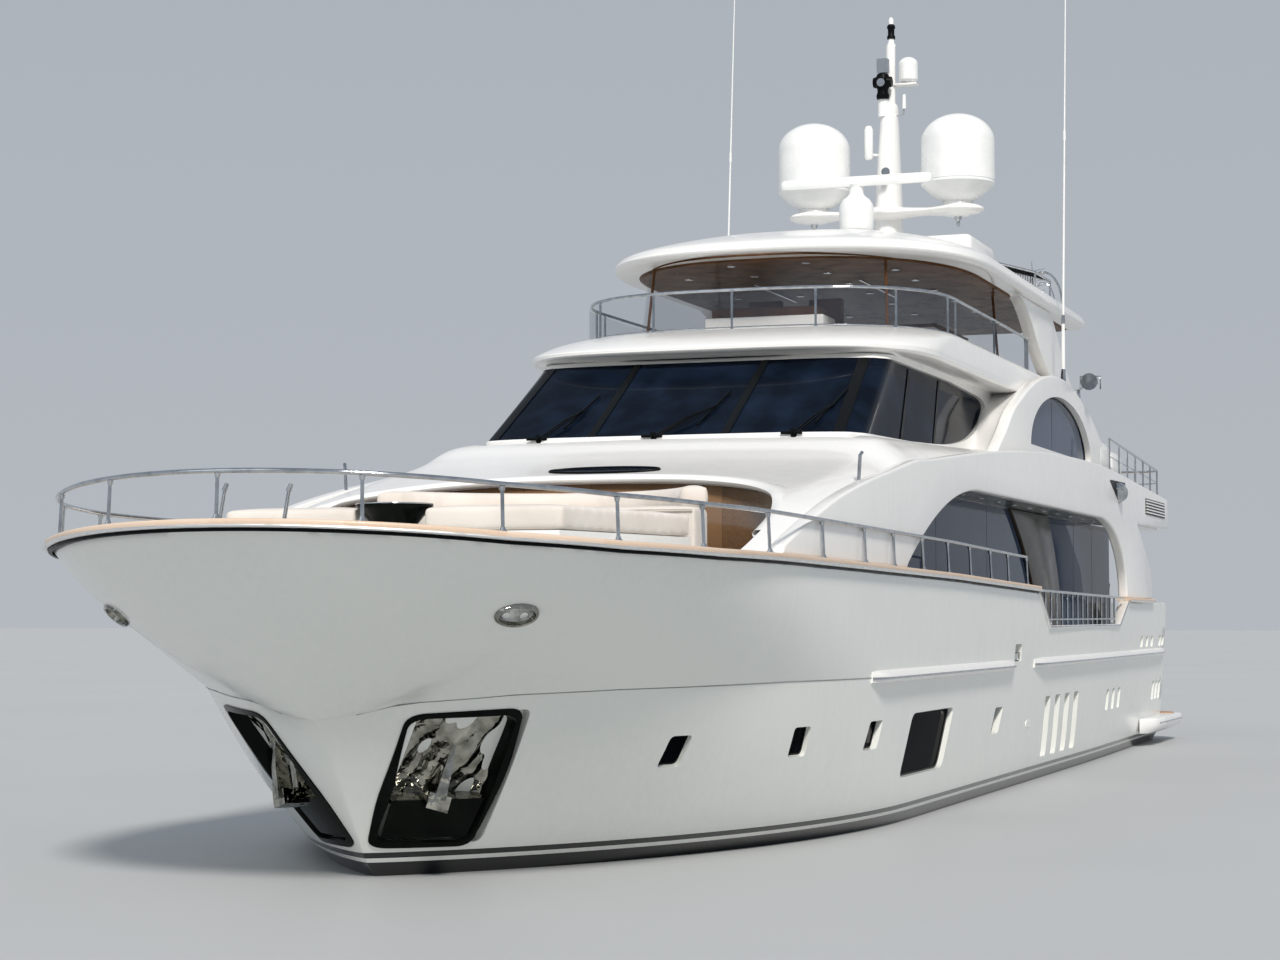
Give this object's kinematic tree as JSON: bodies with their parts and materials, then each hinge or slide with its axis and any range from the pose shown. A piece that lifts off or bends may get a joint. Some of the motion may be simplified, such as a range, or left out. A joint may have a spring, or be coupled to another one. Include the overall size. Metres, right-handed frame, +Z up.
{
  "type": "motor yacht",
  "caption": "Three-deck motor yacht afloat with raised pilothouse, sundeck under a hardtop, mast with satellite domes, swim platform, rudders and propellers",
  "frame": {"origin": "on the centreline at the waterline, amidships", "axes": "+X to the bow, +Y to port, +Z up"},
  "size_m": [35.06, 7.56, 16.5508],
  "materials": {
    "gelcoat": "polished white gelcoat; black below the waterline",
    "teak": "oiled teak planking",
    "stainless": "polished stainless steel",
    "dark_glass": "dark tinted glass",
    "clear_glass": "lightly tinted curved glass",
    "bronze": "cast propeller bronze",
    "canvas": "woven beige cover cloth",
    "fibreglass_whip": "white glass-fibre rod",
    "black_moulding": "black moulded table"
  },
  "bodies": {
    "root": {"hull": "gelcoat", "bulwark": "gelcoat", "transom_bulwark": "gelcoat", "swim_platform": "gelcoat", "side_panel_port": "gelcoat", "side_panel_starboard": "gelcoat", "upper_deck": "gelcoat", "saloon_walls": "gelcoat", "forward_trunk": "gelcoat", "pilothouse": "gelcoat", "wing_port": "gelcoat", "wing_starboard": "gelcoat", "sundeck": "gelcoat", "hardtop": "gelcoat", "hardtop_leg_port": "gelcoat", "hardtop_leg_starboard": "gelcoat", "mast": "gelcoat", "dome_port": "gelcoat", "dome_starboard": "gelcoat", "dome_small": "gelcoat", "radar_pedestal": "gelcoat", "lounge_base": "gelcoat", "sunpad_locker": "gelcoat", "bow_cap_rail": "teak", "stern_cap_rail_port": "teak", "stern_cap_rail_starboard": "teak", "upper_aft_teak": "teak", "bow_rail": "stainless", "balcony_rail_port": "stainless", "balcony_rail_starboard": "stainless", "sundeck_rail": "stainless", "upper_aft_rail": "stainless", "windlass_port": "stainless", "windlass_starboard": "stainless", "anchor_port": "stainless", "anchor_starboard": "stainless", "saloon_glass_port": "dark_glass", "saloon_glass_starboard": "dark_glass", "pilothouse_glass": "dark_glass", "wing_glass_port": "dark_glass", "wing_glass_starboard": "dark_glass", "sundeck_windscreen": "clear_glass", "shaft_port": "bronze", "shaft_starboard": "bronze", "lounge_seat": "canvas", "lounge_backrest": "canvas", "sunpad_port": "canvas", "sunpad_starboard": "canvas", "aerial_port": "fibreglass_whip", "aerial_starboard": "fibreglass_whip", "foredeck_table": "black_moulding"},
    "rudder_port": {"rudder_port": "bronze"},
    "rudder_starboard": {"rudder_starboard": "bronze"},
    "propeller_port": {"propeller_port": "bronze"},
    "propeller_starboard": {"propeller_starboard": "bronze"},
    "scanner": {"radar_scanner": "gelcoat"},
    "saloon_door_port": {"saloon_door_port": "dark_glass"},
    "saloon_door_starboard": {"saloon_door_starboard": "dark_glass"},
    "upper_saloon_door": {"upper_saloon_door": "dark_glass"},
    "garage_door": {"garage_door": "gelcoat"}
  },
  "joints": [
    {"name": "rudder_port_turn", "type": "hinge", "parent": "root", "child": "rudder_port", "pos_m": [-14.75, 1.45, -0.9], "axis": [0, 0, 1], "range_deg": [-35, 35]},
    {"name": "rudder_starboard_turn", "type": "hinge", "parent": "root", "child": "rudder_starboard", "pos_m": [-14.75, -1.45, -0.9], "axis": [0, 0, 1], "range_deg": [-35, 35]},
    {"name": "propeller_port_turn", "type": "hinge", "parent": "root", "child": "propeller_port", "pos_m": [-13.65, 1.45, -1.44], "axis": [0.9929, 0, 0.1191], "continuous": true},
    {"name": "propeller_starboard_turn", "type": "hinge", "parent": "root", "child": "propeller_starboard", "pos_m": [-13.65, -1.45, -1.44], "axis": [0.9929, 0, 0.1191], "continuous": true},
    {"name": "scanner_turn", "type": "hinge", "parent": "root", "child": "scanner", "pos_m": [-4.3, 0, 10.03], "axis": [0, 0, 1], "continuous": true},
    {"name": "saloon_door_port_slide", "type": "slide", "parent": "root", "child": "saloon_door_port", "axis": [0, 1, 0], "range_m": [0, 1.15]},
    {"name": "saloon_door_starboard_slide", "type": "slide", "parent": "root", "child": "saloon_door_starboard", "axis": [0, -1, 0], "range_m": [0, 1.15]},
    {"name": "upper_saloon_door_slide", "type": "slide", "parent": "root", "child": "upper_saloon_door", "axis": [0, 1, 0], "range_m": [0, 1.45]},
    {"name": "garage_door_lift", "type": "hinge", "parent": "root", "child": "garage_door", "pos_m": [-15.955, 0, 2.07], "axis": [0, 1, 0], "range_deg": [0, 85]}
  ],
  "couplings": [
    {"joint": "rudder_starboard_turn", "follows": "rudder_port_turn", "ratio": 1}
  ]
}
